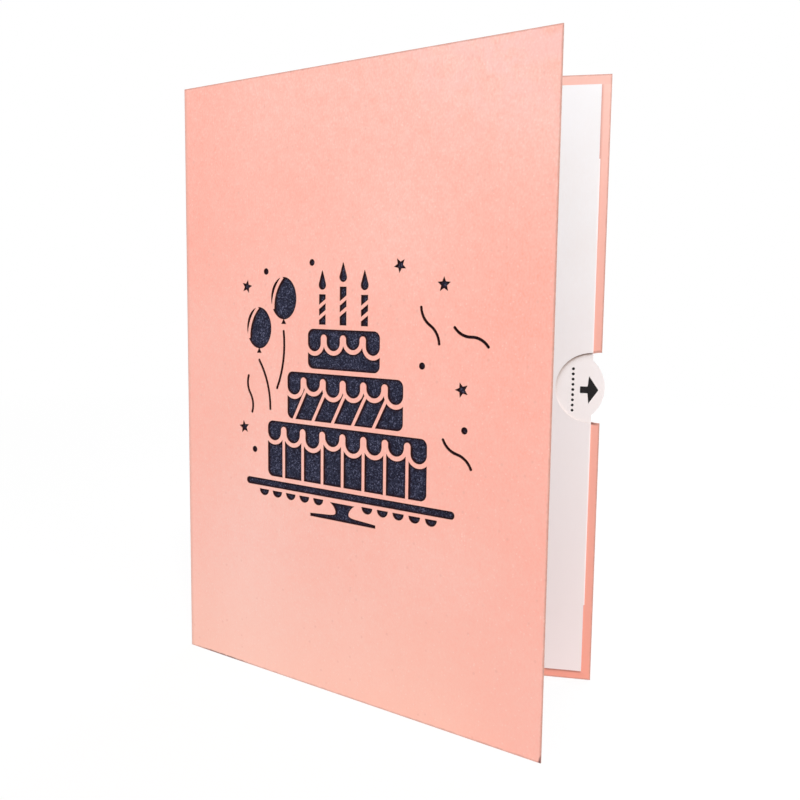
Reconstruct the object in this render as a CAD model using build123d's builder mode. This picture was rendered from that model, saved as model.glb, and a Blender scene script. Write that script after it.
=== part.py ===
from build123d import *
import os
from math import cos, radians, sin

# A greeting card of folded pearl card, standing half open on its lower edges.
# A party picture is cut through the front panel, over a dark lining sheet. On the back panel
# a pale sheet makes a pocket, open at the outer edge, and a message slip sits in it with its
# round tab in the thumb cut.
#
# Millimetres. Z runs up the fold and the front panel runs along +X and faces -Y. The origin
# is at the foot of the fold, half way through the card.

# Folded cover
card_height = 180.0
card_width = 130.0
card_thickness = 0.35
fold_inner_radius = 0.8
opening_angle = 25.0
edge_notch_radius = 10.5

# Sheets glued to the two panels
lining_border = 2.8
liner_thickness = 0.25
sheet_thickness = 0.25
thumb_cut_radius = 10.4

# Double-sided adhesive that holds the pocket sheet on three sides
glue_strip_width = 19.0
glue_strip_inset = 1.5

# Message slip, which fills the pocket between the strips, and its pull tab
slip_thickness = 0.2
slip_play = 0.05
slip_clearance = 0.15
slip_end_gap = 0.3
slip_overhang = 0.3
tab_radius = 11.0
tab_reach = 3.6

# Picture: a tiered cake on a stand, with balloons and confetti round it
picture_base = 52.0
bridge = 1.3
narrow_bridge = 1.0
corner_radius = 2.0

tier_widths = (58.0, 42.0, 26.0)
tier_heights = (17.0, 14.0, 11.5)
drip_counts = (8, 6, 4)
tier_rib_slants = (0, 28, None)
icing_depth = 2.6
icing_dip_radius = 1.1
drip_length = 1.0
drip_unevenness = 0.7
drip_turn = 2.4

foot_width = 24.0
foot_height = 5.2
foot_rim = 0.9
waist_width = 5.0
waist_height = 3.0
neck_width = 9.0
foot_flare = (-1, 0.1)
neck_flare = (1, 0.6)
plate_width = 76.0
plate_height = 2.2
lace_radius = 1.9
lace_pitch = 5.4
lace_count = 5
lace_clearance = 9.0

candle_width = 2.4
candle_heights = (8.6, 10.8, 8.6)
candle_pitch = 7.6
candle_stripe_count = 2
candle_stripe_pitch = 3.1
candle_stripe_slant = 35
flame_radius = 1.35
flame_height = 5.4
flame_tip_radius = 0.15

balloon_width = 10.0
balloon_height = 12.4
balloon_knot_radius = 1.1
balloon_neck = 0.3
highlight_turns = (95, 212)
highlight_bow = 1.1
string_width = 0.8
string_bow = 1.2

star_spikes = 5
star_radius = 2.1
star_waist = 0.45
dot_radius = 0.95
streamer_width = 0.8
streamer_radius = 6.0
streamer_arc = 55

# Places on the picture, from the middle of its foot, and turns in degrees
balloon_places = (((-32.5, 48.5), (-28.0, 30.5)), ((-22.5, 57.5), (-25.2, 37.0)))
star_places = (
    ((33.5, 68.0), 0), ((39.5, 41.0), 20), ((19.5, 73.0), 30), ((-37.5, 67.0), -12), ((-39.0, 24.0), 8)
)
streamer_places = (((26.5, 62.0), 4), ((37.0, 57.0), 38), ((-37.0, 40.0), -20), ((34.0, 27.5), 24))
dot_places = ((-34.5, 17.5), (40.5, 30.5), (27.0, 46.5), (-11.5, 74.0), (-29.5, 71.5))

# How far a cut runs past the card on each side
cut_through = 1.0

# What follows from the sizes
fold_mid_radius = fold_inner_radius + card_thickness / 2
fold_outer_radius = fold_inner_radius + card_thickness
panel_reach = card_width - fold_outer_radius
glue_thickness = slip_play + slip_thickness + slip_clearance
sheet_width = card_width - 2 * lining_border
sheet_height = card_height - 2 * lining_border
mid_height = card_height / 2
pocket_mouth = card_width - lining_border
strip_length = sheet_width - 2 * glue_strip_inset
strip_reach = glue_strip_inset + glue_strip_width
slip_edge = pocket_mouth + slip_overhang
slip_width = slip_edge - lining_border - strip_reach - slip_end_gap
slip_height = sheet_height - 2 * (strip_reach + slip_end_gap)

# Each panel has a plane on its inside face, with x from the fold's outside and y up the card
front_inside = Plane(
    origin=(fold_mid_radius - fold_outer_radius, -fold_inner_radius, 0),
    x_dir=(1, 0, 0),
    z_dir=(0, -1, 0),
)
back_along = Vector(1, 0, 0).rotate(Axis.Z, opening_angle)
back_outward = Vector(0, 1, 0).rotate(Axis.Z, opening_angle)
back_inside = Plane(
    origin=Vector(fold_mid_radius, 0, 0)
    - back_along * fold_outer_radius
    + back_outward * fold_inner_radius,
    x_dir=back_along,
    z_dir=-back_outward,
)


def iced_tier(width, height, drips, rib_slant):
    """One tier of the cake, its foot at y = 0: a window of icing over windows of sponge."""
    dips = drips - 1
    drip_radius = (width / 2 - dips * icing_dip_radius) / drips
    drip_pitch = 2 * (drip_radius + icing_dip_radius)
    level = height - icing_depth
    with BuildSketch() as icing:
        with BuildLine():
            Polyline((-width / 2, level), (-width / 2, height), (width / 2, height), (width / 2, level))
            x = width / 2
            for drip in range(drips):
                low = level - drip_length * (1 + drip_unevenness * cos(drip_turn * drip))
                Line((x, level), (x, low))
                JernArc((x, low), (0, -1), drip_radius, -180)
                x -= 2 * drip_radius
                Line((x, low), (x, level))
                if drip < dips:
                    JernArc((x, level), (0, 1), icing_dip_radius, 180)
                    x -= 2 * icing_dip_radius
        make_face()
        fillet(icing.vertices().group_by(Axis.Y)[-1], radius=corner_radius)
    with BuildSketch() as sponge:
        with Locations((0, height / 2)):
            RectangleRounded(width, height, corner_radius)
        offset(icing.sketch, amount=bridge, mode=Mode.SUBTRACT)
        if rib_slant is not None:
            with Locations((0, height / 2)):
                with GridLocations(drip_pitch, 0, dips, 1):
                    Rectangle(narrow_bridge, 2 * height, rotation=-rib_slant, mode=Mode.SUBTRACT)
    return icing.sketch + sponge.sketch


def candle(height):
    """A striped candle with its flame, its foot at y = 0."""
    with BuildSketch() as candle_window:
        Rectangle(candle_width, height, align=(Align.CENTER, Align.MIN))
        with Locations((0, height / 2)):
            with GridLocations(0, candle_stripe_pitch, 1, candle_stripe_count):
                Rectangle(
                    3 * candle_width, narrow_bridge, rotation=candle_stripe_slant, mode=Mode.SUBTRACT
                )
    with BuildSketch() as flame:
        with Locations((0, height + bridge + flame_radius)):
            Circle(flame_radius)
        with Locations((0, height + bridge + flame_height - flame_tip_radius)):
            Circle(flame_tip_radius)
        make_hull()
    return candle_window.sketch + flame.sketch


with BuildSketch() as stand:
    with BuildLine():
        right_side = Spline(
            (foot_width / 2, foot_rim),
            (waist_width / 2, waist_height),
            (neck_width / 2, foot_height),
            tangents=(foot_flare, neck_flare),
        )
        Polyline((0, foot_height), right_side @ 1)
        Polyline(right_side @ 0, (foot_width / 2, 0), (0, 0))
        mirror(about=Plane.YZ)
    make_face()
    with Locations((0, foot_height + bridge + plate_height / 2)):
        SlotOverall(plate_width, plate_height)

with BuildSketch() as lace:
    lace_run = (lace_count - 1) * lace_pitch
    lace_level = foot_height + bridge - narrow_bridge
    for side in (-1, 1):
        with Locations((side * (lace_clearance + lace_run / 2), lace_level)):
            with GridLocations(lace_pitch, 0, lace_count, 1):
                Circle(lace_radius)
    with Locations((0, lace_level)):
        Rectangle(plate_width, 2 * lace_radius, align=(Align.CENTER, Align.MIN), mode=Mode.SUBTRACT)

with BuildSketch() as balloon:
    Ellipse(balloon_width / 2, balloon_height / 2)
    with BuildLine() as highlight:
        ends = [
            (balloon_width / 2 * cos(radians(turn)), balloon_height / 2 * sin(radians(turn)))
            for turn in highlight_turns
        ]
        SagittaArc(*ends, -highlight_bow)
    trace(highlight.line, line_width=narrow_bridge, mode=Mode.SUBTRACT)
    with Locations((0, balloon_neck - balloon_height / 2 - balloon_knot_radius)):
        RegularPolygon(balloon_knot_radius, 3, rotation=90)

with BuildSketch() as star:
    with BuildLine():
        spike_turn = 360 / star_spikes
        points = []
        for spike in range(star_spikes):
            points.append(Vector(0, star_radius).rotate(Axis.Z, spike * spike_turn))
            points.append(Vector(0, star_radius * star_waist).rotate(Axis.Z, (spike + 0.5) * spike_turn))
        Polyline(*points, close=True)
    make_face()

with BuildSketch() as streamer:
    with BuildLine() as curl:
        upper = JernArc((0, 0), (0, -1), streamer_radius, streamer_arc)
        JernArc(upper @ 1, upper % 1, streamer_radius, -streamer_arc)
    SlotArc(curl.wire(), streamer_width)

with BuildSketch() as picture:
    add(stand.sketch)
    add(lace.sketch)
    level = foot_height + plate_height + 2 * bridge
    for width, height, drips, slant in zip(tier_widths, tier_heights, drip_counts, tier_rib_slants):
        with Locations((0, level)):
            add(iced_tier(width, height, drips, slant))
        level += height + bridge
    for place, height in enumerate(candle_heights, start=-1):
        with Locations((place * candle_pitch, level)):
            add(candle(height))
    for knot, string_end in balloon_places:
        with Locations(Vector(knot) + Vector(0, balloon_height / 2)):
            add(balloon.sketch)
        with BuildLine() as string:
            string_top = Vector(knot) - Vector(0, 2 * balloon_knot_radius + bridge)
            SagittaArc(string_top, string_end, string_bow)
        SlotArc(string.wire(), string_width)
    for place, turn in star_places:
        with Locations(place):
            add(star.sketch, rotation=turn)
    for place, turn in streamer_places:
        with Locations(place):
            add(streamer.sketch, rotation=turn)
    with Locations(*dot_places):
        Circle(dot_radius)

with BuildPart() as cover:
    with BuildSketch():
        with BuildLine():
            front_run = Line(
                (fold_mid_radius + panel_reach, -fold_mid_radius), (fold_mid_radius, -fold_mid_radius)
            )
            fold = JernArc(front_run @ 1, front_run % 1, fold_mid_radius, opening_angle - 180)
            PolarLine(fold @ 1, panel_reach, direction=fold % 1)
        trace(line_width=card_thickness)
    extrude(amount=card_height)
    with BuildSketch(front_inside):
        with Locations((card_width / 2, picture_base)):
            add(picture.sketch)
    extrude(amount=cut_through, both=True, mode=Mode.SUBTRACT)
    with BuildSketch(back_inside):
        with Locations((card_width, mid_height)):
            Circle(edge_notch_radius)
    extrude(amount=cut_through, both=True, mode=Mode.SUBTRACT)

with BuildPart() as front_liner:
    with BuildSketch(front_inside):
        with Locations((card_width / 2, mid_height)):
            Rectangle(sheet_width, sheet_height)
    extrude(amount=-liner_thickness)

with BuildPart() as pocket_sheet:
    with BuildSketch(back_inside.offset(glue_thickness)):
        with Locations((card_width / 2, mid_height)):
            Rectangle(sheet_width, sheet_height)
        with Locations((pocket_mouth, mid_height)):
            Circle(thumb_cut_radius, mode=Mode.SUBTRACT)
    extrude(amount=sheet_thickness)

with BuildPart() as message_slip:
    with BuildSketch(back_inside.offset(slip_play)):
        with Locations((slip_edge - slip_width / 2, mid_height)):
            Rectangle(slip_width, slip_height)
        with Locations((slip_edge + tab_reach - tab_radius, mid_height)):
            Circle(tab_radius)
    extrude(amount=slip_thickness)


def glue_strip(x, z, width, height):
    """A strip of adhesive between the back panel and the pocket sheet, centred on x and z."""
    with BuildPart() as strip:
        with BuildSketch(back_inside):
            with Locations((x, z)):
                Rectangle(width, height)
        extrude(amount=glue_thickness)
    return strip


strip_margin = lining_border + glue_strip_inset + glue_strip_width / 2
spine_strip_length = sheet_height - 2 * strip_reach

top_strip = glue_strip(card_width / 2, card_height - strip_margin, strip_length, glue_strip_width)
bottom_strip = glue_strip(card_width / 2, strip_margin, strip_length, glue_strip_width)
spine_strip = glue_strip(strip_margin, mid_height, glue_strip_width, spine_strip_length)

pieces = {
    "cover": cover,
    "front_liner": front_liner,
    "pocket_sheet": pocket_sheet,
    "message_slip": message_slip,
    "top_glue_strip": top_strip,
    "bottom_glue_strip": bottom_strip,
    "spine_glue_strip": spine_strip,
}

os.makedirs("parts", exist_ok=True)
for name, piece in pieces.items():
    piece.part.label = name
    export_step(piece.part, f"parts/{name}.step")
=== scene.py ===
# %% [markdown]
# A folded greeting card
#
# The real thing is one sheet of coral pearl card, folded once and standing half open.
# A laser has cut a party picture through its front panel, and a navy sheet glued behind it shows
# through every window. Inside, a white sheet makes a shallow pocket on the back panel, and a
# message slip with a round pull tab sits in that pocket.
# The exact sheets come from the CAD model, so this file doesn't model them again. It gives each
# one its finish, adds the print on the pull tab, and sets up the camera, the floor and the lights.

# %% Load the CAD model as a fixed frame
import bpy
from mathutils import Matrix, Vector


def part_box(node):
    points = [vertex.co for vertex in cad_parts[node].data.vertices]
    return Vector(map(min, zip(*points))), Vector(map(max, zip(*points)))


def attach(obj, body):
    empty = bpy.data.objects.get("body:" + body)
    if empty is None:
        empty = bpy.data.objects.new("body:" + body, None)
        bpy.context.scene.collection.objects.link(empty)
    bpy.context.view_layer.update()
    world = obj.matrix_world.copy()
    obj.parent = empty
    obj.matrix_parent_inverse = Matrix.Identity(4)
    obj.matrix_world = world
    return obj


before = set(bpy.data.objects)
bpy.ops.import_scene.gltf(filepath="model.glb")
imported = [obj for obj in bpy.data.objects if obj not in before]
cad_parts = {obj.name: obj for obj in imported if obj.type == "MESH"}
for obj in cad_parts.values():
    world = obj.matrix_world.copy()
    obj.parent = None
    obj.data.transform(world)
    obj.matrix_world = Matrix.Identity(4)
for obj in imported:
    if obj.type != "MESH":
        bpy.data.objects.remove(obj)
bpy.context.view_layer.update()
print("CAD nodes:", ", ".join(sorted(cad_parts)))

# %% Bring in the other tools this file uses
from math import cos, radians, sin
import bpy
from mathutils import Euler, Matrix, Vector

# %% [markdown]
# Where things are on a folded card
#
# Blender works in metres here, and a card maker thinks in millimetres, so one value converts.
# The front panel lies along X and is easy to measure. The back panel is turned by the opening
# angle about the fold, so a place on it is given the way a maker would rule it on the flat sheet:
# how far from the fold, how far out from the fold's own centre, and how high.
# One helper turns those three into a point in space.

# %% Name the card's measures and find points on the back panel
MM = 0.001
opening_angle = radians(25.0)
card_width, card_height, card_thickness = 130.0, 180.0, 0.35
notch_radius = 10.5
fold_inner_radius = 0.8
fold_outer_radius = fold_inner_radius + card_thickness
fold_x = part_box("cover")[0].x / MM + fold_outer_radius
along_back = Vector((cos(opening_angle), sin(opening_angle), 0))
out_of_back = Vector((-sin(opening_angle), cos(opening_angle), 0))


def on_back_panel(from_fold, outward, height):
    flat = (from_fold - fold_outer_radius) * along_back + outward * out_of_back
    return (Vector((fold_x, 0, height)) + flat) * MM


print("Centre of the fold in mm:", round(fold_x, 3))
notch_centre = on_back_panel(card_width, fold_inner_radius + card_thickness / 2, card_height / 2)
print("Centre of the thumb notch in mm:", [round(side / MM, 2) for side in notch_centre])

# %% [markdown]
# The camera
#
# The photograph was taken from the right of the card and a little above its middle, so that the
# front panel slopes away to the fold and the back panel shows as a strip beside it.
# A camera can be placed by eye, but here its place was worked out from the card's eight corners:
# the lens decides how strongly the panel tapers, and the place decides where each corner falls.
# Pan turns the camera about the vertical, tilt tips it down, and roll turns it about its own line
# of sight. The photograph was cropped a little off its middle, and the shift moves the frame by
# that much without turning the camera. Depth of field stays off, so that every cut edge is sharp.

# %% Place the camera
bpy.ops.object.select_all(action="DESELECT")
camera_place = Vector((234.25, -209.97, 119.09)) * MM
camera_pan = radians(37.669)
camera_tilt = radians(6.725)
camera_roll = radians(0.469)
looking_level = radians(90)
aim = Euler((looking_level - camera_tilt, 0, camera_pan)).to_matrix()
aim = aim @ Matrix.Rotation(camera_roll, 3, "Z")
bpy.ops.object.camera_add(location=camera_place, rotation=aim.to_euler())
camera = bpy.context.object
camera.name = "photo_camera"
camera.data.lens = 43.029
camera.data.shift_x = 0.0431
camera.data.sensor_width = 36
camera.data.clip_start = 0.01
camera.data.clip_end = 50
bpy.context.scene.camera = camera
print("Camera in mm:", [round(side / MM, 1) for side in camera.location], "lens", round(camera.data.lens, 2))

# %% [markdown]
# Colours and nodes
#
# Colours are easiest to read off a picture as three numbers from 0 to 255, but a shader counts
# light itself. Pictures are stored along a fixed curve, which is straight near black and a power
# above that, so a helper follows it back. Materials here are small graphs of nodes, and another
# helper adds one node with a title and its values. Every finish starts from the same two nodes, a
# shader and an output, and the last helper puts a finish on a sheet of the CAD model.

# %% Helpers for colours and node graphs
full_level = 255
straight_part, straight_slope = 0.04045, 12.92
curve_offset, curve_power = 0.055, 2.4


def to_light(level):
    share = level / full_level
    if share <= straight_part:
        return share / straight_slope
    return ((share + curve_offset) / (1 + curve_offset)) ** curve_power


def paint(red, green, blue):
    return (to_light(red), to_light(green), to_light(blue), 1.0)


def add_node(graph, kind, title, settings=None, inputs=None):
    node = graph.nodes.new(kind)
    node.label = title
    for name, value in (settings or {}).items():
        setattr(node, name, value)
    for name, value in (inputs or {}).items():
        node.inputs[name].default_value = value
    return node


def new_finish(name, inputs):
    finish = bpy.data.materials.new(name)
    finish.use_nodes = True
    graph = finish.node_tree
    graph.nodes.clear()
    shader = add_node(graph, "ShaderNodeBsdfPrincipled", name, inputs=inputs)
    output = add_node(graph, "ShaderNodeOutputMaterial", "output")
    graph.links.new(shader.outputs["BSDF"], output.inputs["Surface"])
    return finish, graph, shader


def dress(node_name, finish):
    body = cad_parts[node_name]
    body.data.materials.clear()
    body.data.materials.append(finish)
    print(node_name, "wears", finish.name)


print("Card white as light:", [round(level, 3) for level in paint(250, 248, 246)])

# %% [markdown]
# Small steps that every paper needs
#
# Paper is never one colour. Fibres, coating and pulp make faint clouds at several sizes at once.
# A noise texture read in millimetres gives one such size, and a few of them added together give
# the paper its tone. A noise runs from 0 to 1, so each one is first centred about zero, and then it
# can darken as well as brighten. The tone runs along a ramp from a deeper to a lighter colour.
# Reading the object's own coordinates keeps the pattern at its true size on any piece, and a shift
# slides a pattern along until its pale and deep places lie where they do on the real sheet.

# %% Read a place in millimetres and make clouds there
def in_millimetres(graph, stretch=(1, 1, 1), shift=(0, 0, 0)):
    place = add_node(graph, "ShaderNodeTexCoord", "place on the object")
    inputs = {"Scale": [1 / (MM * side) for side in stretch], "Location": shift}
    ruler = add_node(graph, "ShaderNodeMapping", "metres to millimetres", inputs=inputs)
    graph.links.new(place.outputs["Object"], ruler.inputs["Vector"])
    return ruler.outputs["Vector"]


def cloud(graph, place, size, title, detail=2.0, roughness=0.55):
    inputs = {"Scale": 1 / size, "Detail": detail, "Roughness": roughness}
    noise = add_node(graph, "ShaderNodeTexNoise", title, inputs=inputs)
    graph.links.new(place, noise.inputs["Vector"])
    return noise.outputs["Fac"]


print("Clouds are measured in millimetres")

# %% Helpers to reckon with patterns and to colour them
half_way = 0.5


def number(graph, operation, first, second, title):
    node = add_node(graph, "ShaderNodeMath", title, settings={"operation": operation})
    for socket, value in zip(node.inputs, (first, second)):
        if isinstance(value, (int, float)):
            socket.default_value = value
        else:
            graph.links.new(value, socket)
    return node.outputs[0]


def times(graph, title, first, *others):
    for other in others:
        first = number(graph, "MULTIPLY", first, other, title)
    return first


def add_up(graph, start, parts):
    total = start
    for source, weight, title in parts:
        centred = number(graph, "SUBTRACT", source, half_way, title + " about zero")
        share = times(graph, title + " share", centred, weight)
        total = number(graph, "ADD", total, share, "tone with " + title)
    return total


def ramp(graph, value, stops, title):
    node = add_node(graph, "ShaderNodeValToRGB", title)
    band = node.color_ramp
    for element, (position, colour) in zip(band.elements, (stops[0], stops[-1])):
        element.position = position
        element.color = colour
    for position, colour in stops[1:-1]:
        band.elements.new(position).color = colour
    graph.links.new(value, node.inputs["Fac"])
    return node.outputs["Color"]


print("A noise is centred on", half_way)

# %% [markdown]
# Wear and dirt have a place
#
# Noise is everywhere, but a rub, a stain or a scorched rim lies somewhere. So the next helpers
# measure how far a point is from another one, turn a measure into a share that fades in between
# two values, and blend a second colour in by that share. The last one raises the surface by a
# pattern, in hundredths of a millimetre and only for the light: the mesh stays flat.

# %% Helpers for places, blends and relief
def how_far(graph, place, centre, title):
    node = add_node(graph, "ShaderNodeVectorMath", title, settings={"operation": "DISTANCE"})
    graph.links.new(place, node.inputs[0])
    node.inputs[1].default_value = centre
    return node.outputs["Value"]


def fade(graph, value, begin, end, title):
    inputs = {"From Min": begin, "From Max": end}
    node = add_node(graph, "ShaderNodeMapRange", title, inputs=inputs)
    graph.links.new(value, node.inputs["Value"])
    return node.outputs["Result"]


def blend(graph, share, under, over, title):
    # A Mix node keeps its number, vector and colour sockets in one row, so they are picked by place.
    node = add_node(graph, "ShaderNodeMix", title, settings={"data_type": "RGBA"})
    factor, colour_a, colour_b = node.inputs[0], node.inputs[6], node.inputs[7]
    for socket, value in ((factor, share), (colour_a, under), (colour_b, over)):
        if isinstance(value, bpy.types.NodeSocket):
            graph.links.new(value, socket)
        else:
            socket.default_value = value
    return node.outputs[2]


def raise_surface(graph, shader, height, depth, strength, title):
    inputs = {"Strength": strength, "Distance": depth * MM}
    bump = add_node(graph, "ShaderNodeBump", title, inputs=inputs)
    graph.links.new(height, bump.inputs["Height"])
    graph.links.new(bump.outputs["Normal"], shader.inputs["Normal"])


print("Place and relief helpers are ready")

# %% [markdown]
# The coral pearl card
#
# The card is a pearl stock: dyed pulp under a thin coat of mica. Close up, its colour drifts
# between peach and salmon over the height of a hand, with faint mottling a few millimetres across
# and a fine grain of half a millimetre, and here and there a darker or a brighter speck.
# The mica gives a broad, soft shine that is strongest where the light glances off the panel.
# One image would hold all that only at one size, so the tone is added up from noises instead,
# each at the size seen on the card, and the shine is the shader's own coat. Towards the top the
# panel catches more light, and there the mottling and the grain show more strongly. Their strength
# grows from a height far below the foot, so that the foot keeps a part of it.

# %% Mix the tone of the pearl card
drift_size, mottle_size, grain_size = 80, 2.4, 0.55
drift_weight, mottle_weight, grain_weight = 1.12, 0.62, 1.13
# The drift is partly the card's own tone and partly a painted sheen: its shift puts a paler part at the top
# right of the front.
drift_shift, grain_stretch = (145, -200, -15), (1, 1, 1.5)
no_mottle_height = -100
pearl_roughness = 0.5
pearl_shine = {
    "Roughness": pearl_roughness, "Specular IOR Level": 0.4, "Coat Weight": 0.12, "Coat Roughness": 0.32,
}
pearl, graph, shader = new_finish("coral_pearl_card", pearl_shine)
place = in_millimetres(graph)
drift_place = in_millimetres(graph, shift=drift_shift)
upright_place = in_millimetres(graph, stretch=grain_stretch)
drift = cloud(graph, drift_place, drift_size, "slow drift", detail=1)
mottle = cloud(graph, place, mottle_size, "mottling", detail=4)
grain = cloud(graph, upright_place, grain_size, "fine grain", detail=3)
split_place = add_node(graph, "ShaderNodeSeparateXYZ", "place along the card")
graph.links.new(place, split_place.inputs["Vector"])
across, behind, height = split_place.outputs
liveliness = fade(graph, height, no_mottle_height, card_height, "livelier towards the top")
lively_mottle = times(graph, "mottle by height", liveliness, mottle_weight)
lively_grain = times(graph, "grain by height", liveliness, grain_weight)
tone_parts = [
    (drift, drift_weight, "drift"),
    (mottle, lively_mottle, "mottle"),
    (grain, lively_grain, "grain"),
]
tone = add_up(graph, half_way, tone_parts)
print("Tone sizes in mm:", drift_size, mottle_size, grain_size)

# %% [markdown]
# Broad patches, a pale foot and a painted sheen
#
# Four broad patches of the front are a little paler or deeper than the rest: partly the card's own
# tone and partly painted light and shade. Each is given by its middle, its reach in millimetres and
# how much it adds to the tone or takes from it.
# The front's foot is painted paler and warmer, as painted light from the table below, and high up
# towards the outer edge a pink painted sheen lies in small patches. These two change the colour and
# not the tone, so they are blended in after the ramp, and both are kept off the back panel.

# %% Lay broad patches over the tone
# Partly the card's own tone, partly painted light and shade.
tone_and_painted_light_patches = (
    ("pale patch right of the picture", (97, -1, 111), 40, 0.19),
    ("deep patch left of the picture", (17, -1, 120), 35, -0.12),
    ("deep patch low at the outer edge", (126, -1, 53), 30, -0.15),
    ("deep patch at the top", (112, -1, 160), 42, -0.1),
)
for title, centre, reach, weight in tone_and_painted_light_patches:
    away = how_far(graph, place, centre, "to the " + title)
    patch = fade(graph, away, reach, 0, title)
    share = times(graph, title + " share", patch, weight)
    tone = number(graph, "ADD", tone, share, "tone with " + title)
coral_stops = [
    (0.0, paint(248, 161, 143)),
    (0.15, paint(250, 169, 152)),
    (0.5, paint(250, 184, 169)),
    (0.85, paint(251, 200, 188)),
    (1.0, paint(252, 207, 196)),
]
coral = ramp(graph, tone, coral_stops, "deep to light coral")
print("Broad patches:", len(tone_and_painted_light_patches))

# %% Paint light on the foot and a sheen near the top
panel_blend = 1
foot_reach, foot_margin, foot_strength = 40, 30, 0.35
painted_sheen_size, painted_sheen_strength = 6, 0.4
painted_sheen_begin, painted_sheen_full = 0.42, 0.6
painted_sheen_low, painted_sheen_high = 150, 178
painted_sheen_left, painted_sheen_right = 60, 120
front_only = fade(graph, behind, panel_blend, -panel_blend, "not on the back panel")
# Painted light: the foot is paler and warmer where the table lights it from below.
foot = fade(graph, height, foot_reach, 0, "paler towards the foot")
foot_by_width = fade(graph, across, card_width, card_width - foot_margin, "but not at the outer edge")
foot = times(graph, "pale foot", foot, foot_by_width, front_only, foot_strength)
coral = blend(graph, foot, coral, paint(255, 208, 186), "card with a pale foot")
# Painted sheen: pink patches high up towards the outer edge.
painted_sheen_clouds = cloud(graph, place, painted_sheen_size, "bloom clouds", detail=3)
painted_sheen = fade(graph, painted_sheen_clouds, painted_sheen_begin, painted_sheen_full, "bloom in patches")
painted_sheen_by_height = fade(graph, height, painted_sheen_low, painted_sheen_high, "bloom near the top")
painted_sheen_by_width = fade(graph, across, painted_sheen_left, painted_sheen_right, "bloom towards the outer edge")
painted_sheen = times(graph, "pink bloom", painted_sheen, painted_sheen_by_height, painted_sheen_by_width, front_only, painted_sheen_strength)
coral = blend(graph, painted_sheen, coral, paint(250, 198, 197), "card with a pink bloom")
print("Pale foot and bloom reach in mm:", foot_reach, card_height - painted_sheen_low)

# %% [markdown]
# Specks in the coating
#
# A Voronoi texture scatters one point in each cell. Keeping only the cells whose random value is
# near 1, and in them only the middle, leaves a few small dots with plain card between them.
# Some of these dots are darker pulp specks, and the others are brighter mica. Both stay faint:
# from an arm's length they should read as texture and not as dirt.

# %% Add dark and bright specks
def specks(graph, place, spacing, radius, rare, title):
    cells = add_node(graph, "ShaderNodeTexVoronoi", title, inputs={"Scale": 1 / spacing})
    graph.links.new(place, cells.inputs["Vector"])
    split = add_node(graph, "ShaderNodeSeparateColor", title + " random value")
    graph.links.new(cells.outputs["Color"], split.inputs["Color"])
    chosen = number(graph, "GREATER_THAN", split.outputs[0], rare, title + " few cells")
    rim = radius / spacing
    middle = fade(graph, cells.outputs["Distance"], rim, rim / 2, title + " middle")
    return times(graph, title, chosen, middle)


speck_strength = 0.3
speck_kinds = (
    ("pulp specks", 2.2, 0.5, 0.86, paint(228, 156, 142)),
    ("mica specks", 0.9, 0.3, 0.8, paint(255, 222, 214)),
)
for title, spacing, radius, rare, colour in speck_kinds:
    found = specks(graph, place, spacing, radius, rare, title)
    share = times(graph, title + " strength", found, speck_strength)
    coral = blend(graph, share, coral, colour, "card with " + title)
    print(title, "added, radius in mm:", radius)

# %% [markdown]
# Faces and cut edges
#
# The sheet's inside is painted deeper in colour than its outside: painted shade between the panels,
# deepest at the foot, fading upwards into painted light near the top. And everything the laser cut
# is brown: the outline, the notch and all the windows.
# The card's faces look along only a few directions, so the material asks for the surface's true
# direction and compares it with those. What is neither the front, nor the back panel, nor the turn
# of the fold, is a cut edge.

# %% Tell inside, outside and cut edges apart by direction
nearly_along = 0.95
fold_reach = 0.5


def measure_along(graph, vector, direction, title):
    node = add_node(graph, "ShaderNodeVectorMath", title, settings={"operation": "DOT_PRODUCT"})
    graph.links.new(vector, node.inputs[0])
    node.inputs[1].default_value = direction
    return node.outputs["Value"]


def faces_along(graph, turn, title):
    size = number(graph, "ABSOLUTE", turn, 0.0, title + " either way")
    return number(graph, "GREATER_THAN", size, nearly_along, title)


surface = add_node(graph, "ShaderNodeNewGeometry", "surface")
true_direction = surface.outputs["True Normal"]
front_turn = measure_along(graph, true_direction, (0, 1, 0), "towards the front panel's inside")
back_turn = measure_along(graph, true_direction, -out_of_back, "towards the back panel's inside")
upward_turn = measure_along(graph, true_direction, (0, 0, 1), "up")
near_fold = number(graph, "LESS_THAN", across, fold_x + fold_reach, "near the fold")
level_edge = faces_along(graph, upward_turn, "top or bottom edge")
on_fold = number(graph, "SUBTRACT", near_fold, level_edge, "on the fold")
on_front = faces_along(graph, front_turn, "on the front panel")
on_back = faces_along(graph, back_turn, "on the back panel")
on_panel = number(graph, "MAXIMUM", on_front, on_back, "on either panel")
on_face = number(graph, "MAXIMUM", on_panel, on_fold, "on a face")
cut_edge = number(graph, "SUBTRACT", 1.0, on_face, "cut edge")
inward_turn = number(graph, "MAXIMUM", front_turn, back_turn, "how far it faces inwards")
inside = number(graph, "GREATER_THAN", inward_turn, nearly_along, "inside of the card")
print("Cut edges are found by direction")

# %% Paint shade and light on the inside of the card
fully_lit_height, painted_light_growth = 185, 1.5
painted_inside_shade_strength = 0.8
# Painted shade between the panels, deepest at the foot, fading up into painted light near the top.
from_foot = fade(graph, height, 0, fully_lit_height, "height up the card")
painted_light_upwards = number(graph, "POWER", from_foot, painted_light_growth, "painted light grows upwards")
painted_inside_shade = blend(graph, painted_light_upwards, paint(245, 156, 135), paint(249, 202, 189), "painted shade to painted light")
painted_inside_shade_share = times(graph, "inside depth", inside, painted_inside_shade_strength)
coral = blend(graph, painted_inside_shade_share, coral, painted_inside_shade, "card, deeper inside")
print("Strength of the inside's colour:", painted_inside_shade_strength)
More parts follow.
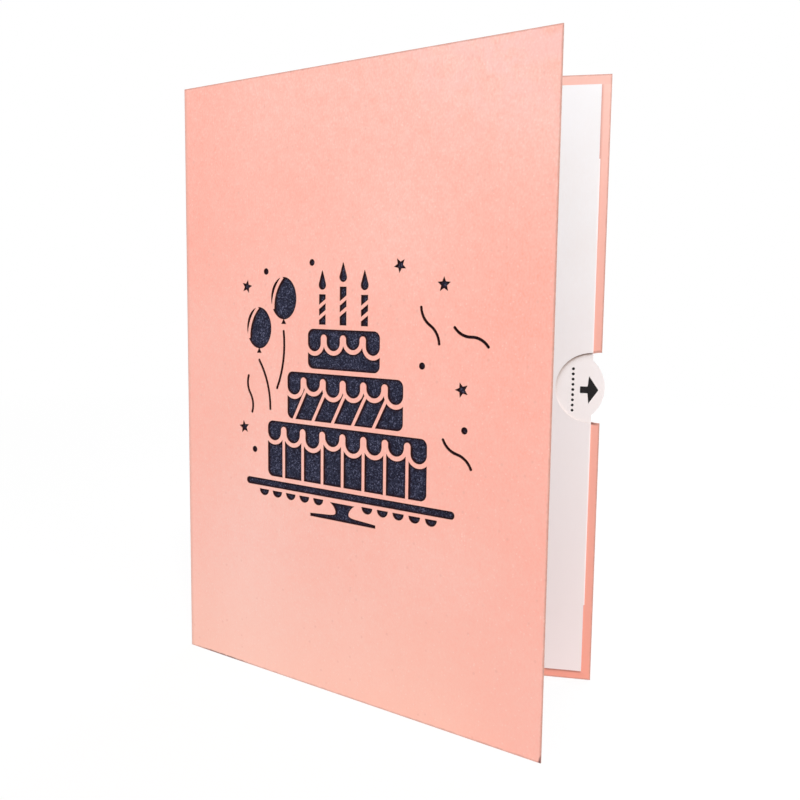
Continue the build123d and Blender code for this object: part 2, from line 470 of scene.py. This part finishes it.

# %% [markdown]
# The outline
#
# Where a sheet was cut, handled and stood on a table, its outermost half a millimetre is a little
# darker, and the card is darker along the fold. Both run along lines that are easy to give in
# numbers: the smallest of the distances to the outer edge, the foot, the top and the notch says how
# near the outline a point is. A noise makes the width uneven. At the notch the smoke of the cut
# reached farther into the card, so there the distance counts from a line a little inside the edge.
# Beside the fold, the foot has a darker brown line.

# %% Measure how near the outline a point is
smoke_reach = 0.3
flat_front = number(graph, "ADD", across, fold_outer_radius - fold_x, "along the front")
along_turned = measure_along(graph, place, along_back, "along the back's direction")
back_start = fold_outer_radius - fold_x * cos(opening_angle)
flat_back = number(graph, "ADD", along_turned, back_start, "along the back")
from_fold = number(graph, "MAXIMUM", flat_front, flat_back, "distance from the fold")
to_side = number(graph, "SUBTRACT", card_width, from_fold, "to the outer edge")
to_top = number(graph, "SUBTRACT", card_height, height, "to the top")
to_notch_centre = how_far(graph, place, notch_centre / MM, "to the notch's centre")
to_notch = number(graph, "SUBTRACT", to_notch_centre, notch_radius + smoke_reach, "to the notch")
to_outline = number(graph, "MINIMUM", height, to_top, "to top or foot")
to_outline = number(graph, "MINIMUM", to_outline, to_side, "or to the side")
to_outline = number(graph, "MINIMUM", to_outline, to_notch, "or to the notch")
print("The outline is measured in the material")

# %% Rub the outline, darken a line at the foot and darken the fold
rubbed_width, rubbed_core, rubbed_strength = 0.5, 0.1, 0.75
foot_line_width, foot_line_core, foot_line_height = 0.5, 0.15, 2
foot_line_middle, foot_line_reach, foot_line_full = 16, 13, 5
crease_begin, crease_full, crease_strength = 0.9, -0.6, 0.55
uneven_size, uneven_share = 2.0, 0.5
uneven = cloud(graph, place, uneven_size, "uneven rubbing", detail=3)
uneven_distance = add_up(graph, to_outline, [(uneven, uneven_share, "rubbing")])
rubbed = fade(graph, uneven_distance, rubbed_width, rubbed_core, "rubbed outline")
rubbed = times(graph, "rubbed strength", rubbed, rubbed_strength)
coral = blend(graph, rubbed, coral, paint(198, 142, 128), "card with a rubbed outline")
# A darker brown line along the foot beside the fold.
dark_foot_line = fade(graph, uneven_distance, foot_line_width, foot_line_core, "dark line at the foot")
foot_line_run = number(graph, "SUBTRACT", from_fold, foot_line_middle, "from the scuff's middle")
foot_line_run = number(graph, "ABSOLUTE", foot_line_run, 0, "along the scuff")
foot_line_run = fade(graph, foot_line_run, foot_line_reach, foot_line_full, "length of the scuff")
low_down = number(graph, "LESS_THAN", height, foot_line_height, "low down")
dark_foot_line = times(graph, "scuff at the foot", dark_foot_line, foot_line_run, low_down)
coral = blend(graph, dark_foot_line, coral, paint(118, 82, 76), "card with a dark line at the foot")
# The card is darker along the fold.
crease = fade(graph, across, fold_x + crease_begin, fold_x + crease_full, "crease of the fold")
crease = times(graph, "crease strength", crease, crease_strength)
coral = blend(graph, crease, coral, paint(208, 156, 144), "card darker along the fold")
print("Rubbed outline in mm:", rubbed_width)

# %% [markdown]
# Marks in single places
#
# On the inside, the white sheet leaves a narrow border of card. The border is shaded right beside
# the sheet: along the upper half of its outer side, under its foot, and faintly all over above it.
# The lower outer corner of the front panel has been knocked, so it gets a dark tip of its own, and
# the laser singed the lower end of the notch, where it started.
# These marks use the same distances as the outline, each with its own limits.

# %% Shade the border beside the white sheet
sheet_margin = 2.8
side_shade_width, foot_shade_width = 0.8, 0.7
side_shade_begin, side_shade_full = 100, 140
above_strength, shade_strength = 0.2, 0.6


def shade_before(graph, distance, width, other_distance, title):
    nearer = fade(graph, distance, sheet_margin - width, sheet_margin, title + " growing")
    in_border = number(graph, "LESS_THAN", distance, sheet_margin, title + " in the border")
    along_sheet = number(graph, "GREATER_THAN", other_distance, sheet_margin, title + " along the sheet")
    return times(graph, title, nearer, in_border, along_sheet)


beside_sheet = shade_before(graph, to_side, side_shade_width, to_top, "beside the sheet")
high_up = fade(graph, height, side_shade_begin, side_shade_full, "upper half of the side")
beside_sheet = times(graph, "beside the sheet's upper half", beside_sheet, high_up)
under_sheet = shade_before(graph, height, foot_shade_width, to_side, "under the sheet's foot")
above_sheet = number(graph, "LESS_THAN", to_top, sheet_margin, "above the sheet")
above_sheet = times(graph, "above the sheet, faintly", above_sheet, above_strength)
by_sheet = number(graph, "MAXIMUM", beside_sheet, under_sheet, "shaded by the sheet")
by_sheet = number(graph, "MAXIMUM", by_sheet, above_sheet, "or above it")
by_sheet = times(graph, "shaded by the sheet, inside", by_sheet, inside, shade_strength)
coral = blend(graph, by_sheet, coral, paint(176, 118, 108), "card with a shaded margin")
print("Border beside the sheet in mm:", sheet_margin)

# %% Knock one corner and singe the notch
knock_height_share, knock_uneven_share = 0.4, 0.8
knock_reach, knock_core = 1.0, 0.55
singe_reach, singe_core = 0.55, 0.1
singe_begin, singe_full = 0.6, 2.2
knock_height = times(graph, "height counts less", height, knock_height_share)
to_corner = number(graph, "ADD", to_side, knock_height, "to the foot of the outer edge")
to_corner = add_up(graph, to_corner, [(uneven, knock_uneven_share, "knock")])
knocked = fade(graph, to_corner, knock_reach, knock_core, "knocked corner")
front_side = number(graph, "LESS_THAN", behind, 0, "on the front panel's side")
knocked = times(graph, "only one corner", knocked, front_side)
coral = blend(graph, knocked, coral, paint(120, 80, 80), "card with a knocked corner")
singed = fade(graph, to_notch, singe_reach, singe_core, "singed notch")
singed_run = fade(graph, to_side, singe_begin, singe_full, "where the notch starts")
below_notch = number(graph, "LESS_THAN", height, card_height / 2, "below the notch")
singed = times(graph, "singed lower end", singed, singed_run, below_notch)
coral = blend(graph, singed, coral, paint(126, 78, 66), "card with a singed notch")
print("Knocked corner and singed notch in mm:", knock_reach, singe_reach)

# %% [markdown]
# Burnt edges
#
# The picture's windows are fine work, so there the laser goes slowly and burns the walls nearly
# black. Round the outline it goes fast and leaves a light brown. The heat also leaves a hair-thin
# scorched rim on the face beside each window. A bevel node looks round each point for a nearby
# corner without changing the shape, and its answer differs from the true direction only there.

# %% Burn the cut edges and scorch their rims
rim_width, rim_strength, rim_samples = 0.2, 0.5, 6
rim_begin, rim_full = 0.999, 0.85
soot_size, outline_reach = 1.2, 0.1
settings, inputs = {"samples": rim_samples}, {"Radius": rim_width * MM}
corner = add_node(graph, "ShaderNodeBevel", "look for a corner", settings, inputs)
agree = add_node(graph, "ShaderNodeVectorMath", "same direction", settings={"operation": "DOT_PRODUCT"})
graph.links.new(corner.outputs["Normal"], agree.inputs[0])
graph.links.new(true_direction, agree.inputs[1])
rim = fade(graph, agree.outputs["Value"], rim_begin, rim_full, "scorched rim")
rim = times(graph, "rim strength", rim, rim_strength)
soot = cloud(graph, place, soot_size, "uneven burning")
slow_burn = ramp(graph, soot, [(0.3, paint(52, 22, 18)), (0.7, paint(100, 56, 44))], "walls of windows")
fast_burn = ramp(graph, soot, [(0.3, paint(170, 122, 108)), (0.7, paint(206, 156, 142))], "outline's edge")
by_outline = number(graph, "LESS_THAN", to_outline, outline_reach, "part of the outline")
burnt = blend(graph, by_outline, slow_burn, fast_burn, "burnt edge colours")
coral = blend(graph, rim, coral, paint(176, 112, 92), "card with scorched rims")
coral = blend(graph, cut_edge, coral, burnt, "card with burnt edges")
graph.links.new(coral, shader.inputs["Base Color"])
print("Scorched rim in mm:", rim_width)

# %% [markdown]
# Shine and surface of the pearl card
#
# The coat isn't even: mica lies thicker in some places, so the roughness drifts a little with the
# mottling. A very shallow bump from the grain and the mottling breaks up the reflections, as the
# felt side of real card does. It is only a few hundredths of a millimetre deep, or the card would
# look like plaster.

# %% Set the roughness and the bump, and dress the cover
felt_depth, felt_strength = 0.03, 0.35
gloss_parts = [(mottle, 0.35, "mottle gloss"), (grain, 0.2, "grain gloss")]
roughness = add_up(graph, pearl_roughness, gloss_parts)
graph.links.new(roughness, shader.inputs["Roughness"])
relief = number(graph, "ADD", mottle, grain, "felt relief")
raise_surface(graph, shader, relief, felt_depth, felt_strength, "felt surface")
dress("cover", pearl)

# %% [markdown]
# The navy lining
#
# Behind the picture lies a navy sheet with a fine glitter: flecks about 0.3 mm across, some blue-
# grey and bright, some almost black. The windows are small, so this pattern is most of what the eye
# sees in them. Voronoi cells give flecks that fill the sheet without gaps, each with its own random
# values, and those pick a colour, a gloss and a tilt for the whole fleck.
# Close to a window's wall the sheet gets painted shade: an ambient occlusion node finds that
# margin, and a dark red-brown is blended in there.

# %% Make the flecked navy paper
fleck_size, patch_size, patch_weight = 0.3, 2.5, 0.5
tilt_depth, tilt_strength = 0.02, 0.5
dullest, glossiest = 0.75, 0.35
lining, graph, shader = new_finish("navy_flecked_paper", {"Specular IOR Level": 0.06})
place = in_millimetres(graph)
flecks = add_node(graph, "ShaderNodeTexVoronoi", "flecks", inputs={"Scale": 1 / fleck_size})
graph.links.new(place, flecks.inputs["Vector"])
split_fleck = add_node(graph, "ShaderNodeSeparateColor", "random values of a fleck")
graph.links.new(flecks.outputs["Color"], split_fleck.inputs["Color"])
for_tone, for_gloss, for_tilt = split_fleck.outputs
patches = cloud(graph, place, patch_size, "soft patches")
fleck_tone = add_up(graph, for_tone, [(patches, patch_weight, "patch")])
navy_stops = [
    (0.0, paint(22, 19, 34)),
    (0.45, paint(37, 39, 57)),
    (0.8, paint(54, 56, 76)),
    (1.0, paint(92, 94, 118)),
]
navy = ramp(graph, fleck_tone, navy_stops, "black to blue-grey flecks")
gloss_range = {"To Min": dullest, "To Max": glossiest}
fleck_gloss = add_node(graph, "ShaderNodeMapRange", "gloss of a fleck", inputs=gloss_range)
graph.links.new(for_gloss, fleck_gloss.inputs["Value"])
graph.links.new(fleck_gloss.outputs["Result"], shader.inputs["Roughness"])
raise_surface(graph, shader, for_tilt, tilt_depth, tilt_strength, "tilted flecks")
print("Fleck size in mm:", fleck_size)

# %% Paint shade at the margins and dress the lining
def how_open(graph, reach, samples, title):
    settings, inputs = {"samples": samples}, {"Distance": reach * MM}
    return add_node(graph, "ShaderNodeAmbientOcclusion", title, settings, inputs).outputs["AO"]


painted_shade_reach, painted_shade_samples = 1.2, 8
fully_shaded_below, unshaded_above = 0.84, 0.93
# Painted shade: the lining is darkened near each window's wall.
near_wall = how_open(graph, painted_shade_reach, painted_shade_samples, "near a window's wall")
unshaded = fade(graph, near_wall, fully_shaded_below, unshaded_above, "clear of the walls")
navy = blend(graph, unshaded, paint(36, 13, 16), navy, "navy with painted shade at the margins")
graph.links.new(navy, shader.inputs["Base Color"])
dress("front_liner", lining)

# %% [markdown]
# White papers
#
# The pocket sheet and the message slip are matt, uncoated papers. White paper still isn't one
# white: its pulp is a touch warmer in some clouds and cooler in others, and long fibres show when
# light grazes it. Between the coral panels the papers get painted light: a rosy tinge towards the
# foot stands in for light thrown back by the coral, and the top is painted a cooler grey as painted
# shade. A brown painted shadow lies in the step under the thumb cut's upper edge. Cut edges are
# greyer than the faces. The slip is a smoother card than the sheet, so both come from one recipe,
# each with its own colours and depth of fibre. The recipe first makes the face, and then adds the
# painted shadow and the cut edges. The tab's face is given by how far it lies from the fold's centre.

# %% Measures of the uncoated papers
pulp_size, fibre_size, fibre_stretch = 9, 0.45, (1, 1, 4)
pulp_weight, fibre_weight = 0.4, 0.4
rosy_begin, rosy_full = 140, 20
cool_begin, cool_full, cool_strength = 150, 172, 0.5
paper_roughness, fibre_gloss, fibre_strength = 0.82, 0.2, 0.3
tab_face = 0.55
thumb_cut_centre = on_back_panel(card_width - sheet_margin, tab_face, card_height / 2)
thumb_cut_radius, painted_shadow_reach, painted_shadow_samples = 10.5, 2.0, 12
painted_shadow_begin, painted_shadow_full = 0.985, 0.85
painted_shadow_low, painted_shadow_high = 86, 99
print("Centre of the thumb cut in mm:", [round(side / MM, 2) for side in thumb_cut_centre])

# %% The face of a white paper
def face_of_paper(graph, place, fibres, warm, cool, rosy):
    pulp = cloud(graph, place, pulp_size, "pulp clouds", detail=3)
    tone = add_up(graph, half_way, [(pulp, pulp_weight, "pulp"), (fibres, fibre_weight, "fibres")])
    colour = ramp(graph, tone, [(0.2, warm), (0.8, cool)], "warm to cool pulp")
    split_place = add_node(graph, "ShaderNodeSeparateXYZ", "place on the sheet")
    graph.links.new(place, split_place.inputs["Vector"])
    height = split_place.outputs["Z"]
    # Painted light: a rosy tinge towards the foot stands in for light thrown back by the coral panels, and
    # the cooler, greyer top is painted shade.
    painted_bounce_share = fade(graph, height, rosy_begin, rosy_full, "rosier to the foot")
    colour = blend(graph, painted_bounce_share, colour, rosy, "paper with a rosy foot")
    painted_cool_shade_share = fade(graph, height, cool_begin, cool_full, "cooler at the top")
    painted_cool_shade_share = times(graph, "cool share", painted_cool_shade_share, cool_strength)
    return blend(graph, painted_cool_shade_share, colour, paint(240, 240, 242), "paper with a cool top"), height


print("Rosy from", rosy_begin, "mm down, cooler from", cool_begin, "mm up")

# %% The painted step shadow and the cut edges of a white paper
def with_painted_shadow_and_edges(graph, place, height, colour):
    near_step = how_open(graph, painted_shadow_reach, painted_shadow_samples, "near a step")
    # Painted shadow: brown where the slip lies in the step under the thumb cut's upper edge.
    painted_shadow = fade(graph, near_step, painted_shadow_begin, painted_shadow_full, "dust in the step")
    upper_part = fade(graph, height, painted_shadow_low, painted_shadow_high, "only under the upper edge")
    to_cut_centre = how_far(graph, place, thumb_cut_centre / MM, "to the thumb cut's centre")
    in_cut = number(graph, "LESS_THAN", to_cut_centre, thumb_cut_radius, "inside the thumb cut")
    painted_shadow = times(graph, "dust in the thumb cut", painted_shadow, upper_part, in_cut)
    colour = blend(graph, painted_shadow, colour, paint(170, 146, 136), "paper with a painted step shadow")
    surface = add_node(graph, "ShaderNodeNewGeometry", "surface")
    back_turn = measure_along(graph, surface.outputs["True Normal"], out_of_back, "out of the back panel")
    face = faces_along(graph, back_turn, "face of the paper")
    return blend(graph, face, paint(206, 190, 180), colour, "paper with cut edges")


print("Painted shadow between heights in mm:", painted_shadow_low, card_height / 2 + thumb_cut_radius)

# %% A recipe for uncoated paper
def uncoated_paper(name, warm, cool, rosy, fibre_depth):
    finish, graph, shader = new_finish(name, {"Specular IOR Level": 0.25, "Sheen Weight": 0.05})
    place = in_millimetres(graph)
    long_place = in_millimetres(graph, stretch=fibre_stretch)
    fibres = cloud(graph, long_place, fibre_size, "fibres", detail=3)
    colour, height = face_of_paper(graph, place, fibres, warm, cool, rosy)
    colour = with_painted_shadow_and_edges(graph, place, height, colour)
    graph.links.new(colour, shader.inputs["Base Color"])
    roughness = add_up(graph, paper_roughness, [(fibres, fibre_gloss, "fibre gloss")])
    graph.links.new(roughness, shader.inputs["Roughness"])
    raise_surface(graph, shader, fibres, fibre_depth, fibre_strength, "fibre relief")
    return finish


print("Fibre size in mm:", fibre_size)

# %% Dress the pocket sheet and the message slip
sheet_colours = paint(244, 237, 235), paint(249, 246, 247), paint(246, 230, 228)
slip_colours = paint(246, 238, 236), paint(251, 247, 247), paint(253, 238, 235)
sheet_paper = uncoated_paper("pocket_sheet_paper", *sheet_colours, fibre_depth=0.03)
slip_paper = uncoated_paper("message_slip_card", *slip_colours, fibre_depth=0.015)
dress("pocket_sheet", sheet_paper)
dress("message_slip", slip_paper)

# %% [markdown]
# Adhesive strips
#
# Double-sided strips hold the pocket sheet on three sides. Only their thin edges show, at the top
# and bottom of the pocket: a milky film between two papers, with a slight gloss and small air
# bubbles pressed flat.

# %% Make the adhesive film
milk_size, milk_gloss, film_roughness = 4, 0.4, 0.4
bubble_spacing, bubble_radius, bubble_rarity = 1.5, 0.4, 0.6
film, graph, shader = new_finish("adhesive_film", {"Specular IOR Level": 0.5, "Coat Weight": 0.2})
place = in_millimetres(graph)
milk = cloud(graph, place, milk_size, "milky film")
milky = ramp(graph, milk, [(0.3, paint(226, 219, 205)), (0.7, paint(240, 236, 226))], "milky colours")
bubbles = specks(graph, place, bubble_spacing, bubble_radius, bubble_rarity, "air bubbles")
milky = blend(graph, bubbles, milky, paint(247, 245, 240), "film with bubbles")
graph.links.new(milky, shader.inputs["Base Color"])
film_gloss = add_up(graph, film_roughness, [(milk, milk_gloss, "milk gloss")])
graph.links.new(film_gloss, shader.inputs["Roughness"])
for strip in ("top_glue_strip", "bottom_glue_strip", "spine_glue_strip"):
    dress(strip, film)

# %% [markdown]
# The print on the pull tab
#
# The round tab carries a small black print. Here it is a plain pull arrow, which points the way
# the slip comes out, beside an upright row of dots. Ink is a real layer, only thinner than paper,
# so the print is made as a mesh a hundredth of a millimetre thick that lies on the tab.
# A texture could draw it too, but a mesh keeps its crisp outline at any distance.
# Both shapes are modelled flat at the origin, with X pointing away from the fold and Y up the
# card, and are then laid on the tab together.

# %% Helpers to work in edit mode and to lay ink on the tab
ink_thickness = 0.012
print_height = 89.4
arrow_from_fold, dots_from_fold = 125.1, 121.9


def pick_vertices(shape, wanted):
    bpy.ops.mesh.select_all(action="DESELECT")
    bpy.ops.object.mode_set(mode="OBJECT")
    for vertex in shape.data.vertices:
        vertex.select = wanted(vertex.co)
    bpy.ops.object.mode_set(mode="EDIT")


def lay_ink(shape, from_fold, height):
    wall = shape.modifiers.new("ink", "SOLIDIFY")
    wall.thickness = ink_thickness * MM
    wall.offset = 1.0
    bpy.ops.object.modifier_apply(modifier=wall.name)
    right, up, toward_reader = along_back, Vector((0, 0, 1)), -out_of_back
    turned = Matrix((right, up, toward_reader)).transposed().to_4x4()
    shape.matrix_world = Matrix.Translation(on_back_panel(from_fold, tab_face, height)) @ turned
    bpy.ops.object.transform_apply(location=True, rotation=True, scale=True)


print("Ink thickness in mm:", ink_thickness)

# %% Model the pull arrow
stem_length, stem_width = 2.2, 2.0
head_length, head_width, head_rake = 2.8, 8.2, 0.3
corner_radius, corner_steps = 0.2, 4
straight_within = radians(1)
bpy.ops.object.select_all(action="DESELECT")
bpy.ops.mesh.primitive_plane_add(size=MM, enter_editmode=True)
arrow = bpy.context.object
arrow.name = "tab_arrow_print"
bpy.ops.transform.resize(value=(stem_length, stem_width, 1))
pick_vertices(arrow, lambda co: co.x > 0)
bpy.ops.mesh.extrude_region_move(TRANSFORM_OT_translate={"value": (head_rake * MM, 0, 0)})
bpy.ops.transform.resize(value=(1, head_width / stem_width, 1))
bpy.ops.mesh.extrude_region_move(TRANSFORM_OT_translate={"value": (head_length * MM, 0, 0)})
bpy.ops.mesh.merge(type="CENTER")
bpy.ops.mesh.select_all(action="SELECT")
bpy.ops.mesh.dissolve_limited(angle_limit=straight_within)
bpy.ops.mesh.bevel(offset=corner_radius * MM, segments=corner_steps, affect="VERTICES")
bpy.ops.object.mode_set(mode="OBJECT")
lay_ink(arrow, arrow_from_fold, print_height)
print("Arrow corners:", len(arrow.data.vertices))

# %% Model one dot and copy it up the tab
dot_width, dot_spacing, dot_total = 0.85, 1.55, 9
dot_corners, dot_rim = 16, 0.1
bpy.ops.object.select_all(action="DESELECT")
bpy.ops.mesh.primitive_circle_add(
    vertices=dot_corners, radius=dot_width / 2 * MM, fill_type="NGON", enter_editmode=True,
)
bpy.ops.mesh.inset(thickness=dot_rim * MM)
bpy.ops.object.mode_set(mode="OBJECT")
dots = [bpy.context.object]
for step in range(dot_total - 1):
    copy = dots[0].copy()
    copy.data = dots[0].data.copy()
    bpy.context.collection.objects.link(copy)
    dots.append(copy)
lowest = print_height - dot_spacing * (dot_total - 1) / 2
for step, dot in enumerate(dots):
    bpy.ops.object.select_all(action="DESELECT")
    dot.select_set(True)
    bpy.context.view_layer.objects.active = dot
    lay_ink(dot, dots_from_fold, lowest + step * dot_spacing)
for dot in dots:
    dot.select_set(True)
bpy.ops.object.join()
row = bpy.context.object
row.name = "tab_dots_print"
print("Dots:", dot_total, "corners:", len(row.data.vertices))

# %% [markdown]
# Printing ink
#
# Black ink on white card is a very dark warm grey, not a pure black. It dries a little glossier
# than the paper and lets a trace of the fibres through where it lies thin.

# %% Make the ink and dress the print
thin_size, thin_gloss, ink_roughness = 0.5, 0.5, 0.5
ink, graph, shader = new_finish("black_printing_ink", {"Specular IOR Level": 0.25})
place = in_millimetres(graph)
thin = cloud(graph, place, thin_size, "thin places", detail=3)
black = ramp(graph, thin, [(0.35, paint(12, 9, 10)), (0.75, paint(34, 29, 31))], "ink and thin ink")
graph.links.new(black, shader.inputs["Base Color"])
ink_gloss = add_up(graph, ink_roughness, [(thin, thin_gloss, "thin gloss")])
graph.links.new(ink_gloss, shader.inputs["Roughness"])
for shape in (arrow, row):
    shape.data.materials.clear()
    shape.data.materials.append(ink)
    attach(shape, "root")
    print(shape.name, "is printed")

# %% [markdown]
# Floor and background
#
# The card stands on a plain white surface against white. A floor lit by soft lamps is never quite
# white at its far end, so what the camera sees of it is mostly a plain white glow, and the rest is
# an ordinary matt floor that still takes the card's shadow. Light that bounces off the floor on to
# the card only meets the matt floor. Reflections see the white one too.

# %% Tell what is seen from what only gives light
def seen_or_mirrored(graph):
    ray = add_node(graph, "ShaderNodeLightPath", "kind of ray")
    straight, mirrored = ray.outputs["Is Camera Ray"], ray.outputs["Is Glossy Ray"]
    seen = number(graph, "MAXIMUM", straight, mirrored, "seen or mirrored")
    return number(graph, "MAXIMUM", seen, ray.outputs["Is Transmission Ray"], "or seen through")


white = (1, 1, 1, 1)
print("Kinds of ray can be told apart")

# %% Make the floor's finish
floor_finish = bpy.data.materials.new("pale_studio_floor")
floor_finish.use_nodes = True
graph = floor_finish.node_tree
graph.nodes.clear()
matt = add_node(graph, "ShaderNodeBsdfDiffuse", "matt floor")
glow = add_node(graph, "ShaderNodeEmission", "white to the camera", inputs={"Strength": 1.0})
both = add_node(graph, "ShaderNodeMixShader", "glow or floor")
output = add_node(graph, "ShaderNodeOutputMaterial", "output")
seen = seen_or_mirrored(graph)
floor_colour = blend(graph, seen, paint(216, 216, 216), white, "pale floor, seen as white")
graph.links.new(floor_colour, matt.inputs["Color"])
where = add_node(graph, "ShaderNodeTexCoord", "place on the floor")
distance = add_node(graph, "ShaderNodeVectorMath", "distance from the card", settings={"operation": "LENGTH"})
graph.links.new(where.outputs["Object"], distance.inputs[0])
glow_range = {"From Min": 0.3, "From Max": 0.8, "To Min": 0.85, "To Max": 1.0}
farther = add_node(graph, "ShaderNodeMapRange", "more glow farther off", inputs=glow_range)
graph.links.new(distance.outputs["Value"], farther.inputs["Value"])
share = times(graph, "share of the glow", seen, farther.outputs["Result"])
graph.links.new(share, both.inputs["Fac"])
graph.links.new(matt.outputs["BSDF"], both.inputs[1])
graph.links.new(glow.outputs["Emission"], both.inputs[2])
graph.links.new(both.outputs["Shader"], output.inputs["Surface"])
print("Share of glow near and far:", glow_range["To Min"], glow_range["To Max"])

# %% Lay the floor
floor_width = 6
bpy.ops.object.select_all(action="DESELECT")
bpy.ops.mesh.primitive_plane_add(size=floor_width)
floor = bpy.context.object
floor.name = "studio_floor"
floor.data.materials.append(floor_finish)
print("Floor across in m:", floor.dimensions.x)

# %% [markdown]
# Light
#
# The photograph is lit softly from all round and a little more from above, so that a thin shadow
# lies under the thumb cut's upper edge and under the sheet's foot. A white world gives the even
# light. Lamps give it a direction: one is high in front on the right, and one is low in front on
# the left. Two on the right shine between the panels, one near and one far. The last one stands
# behind the card, so that its back isn't left in the dark. Their levels are set so that a colour
# renders about as written, and none of them is seen by the camera.

# %% Light the card with five soft lamps
card_middle = Vector((0.07, 0.02, 0.09))


def soft_lamp(name, place, width, power):
    direction = (card_middle - Vector(place)).to_track_quat("-Z", "Y")
    bpy.ops.object.light_add(type="AREA", location=place, rotation=direction.to_euler())
    lamp = bpy.context.object
    lamp.name = name
    lamp.data.shape = "SQUARE"
    lamp.data.size = width
    lamp.data.energy = power
    lamp.visible_camera = False
    print(name, "power in W:", power)


soft_lamp("high_front_lamp", (1.00, -1.01, 1.73), width=0.4, power=24.3)
soft_lamp("near_right_lamp", (0.46, -0.10, 0.50), width=0.25, power=0.25)
soft_lamp("far_right_lamp", (1.61, -0.24, 0.41), width=1.0, power=9.5)
soft_lamp("front_left_lamp", (-0.35, -0.80, 0.30), width=0.8, power=1.8)
soft_lamp("rear_lamp", (0.00, 1.20, 0.80), width=1.0, power=8.0)

# %% Add the even light of the world
even_level = 0.385
world = bpy.data.worlds.new("even_light")
bpy.context.scene.world = world
world.use_nodes = True
graph = world.node_tree
graph.nodes.clear()
sky = add_node(graph, "ShaderNodeBackground", "even light", inputs={"Color": white})
output = add_node(graph, "ShaderNodeOutputWorld", "output")
seen = seen_or_mirrored(graph)
extra = times(graph, "up to white where it is seen", seen, 1.0 - even_level)
level = number(graph, "ADD", even_level, extra, "level of the sky")
graph.links.new(level, sky.inputs["Strength"])
graph.links.new(sky.outputs["Background"], output.inputs["Surface"])
bpy.context.scene.view_settings.view_transform = "Standard"
print("Even light level:", even_level)
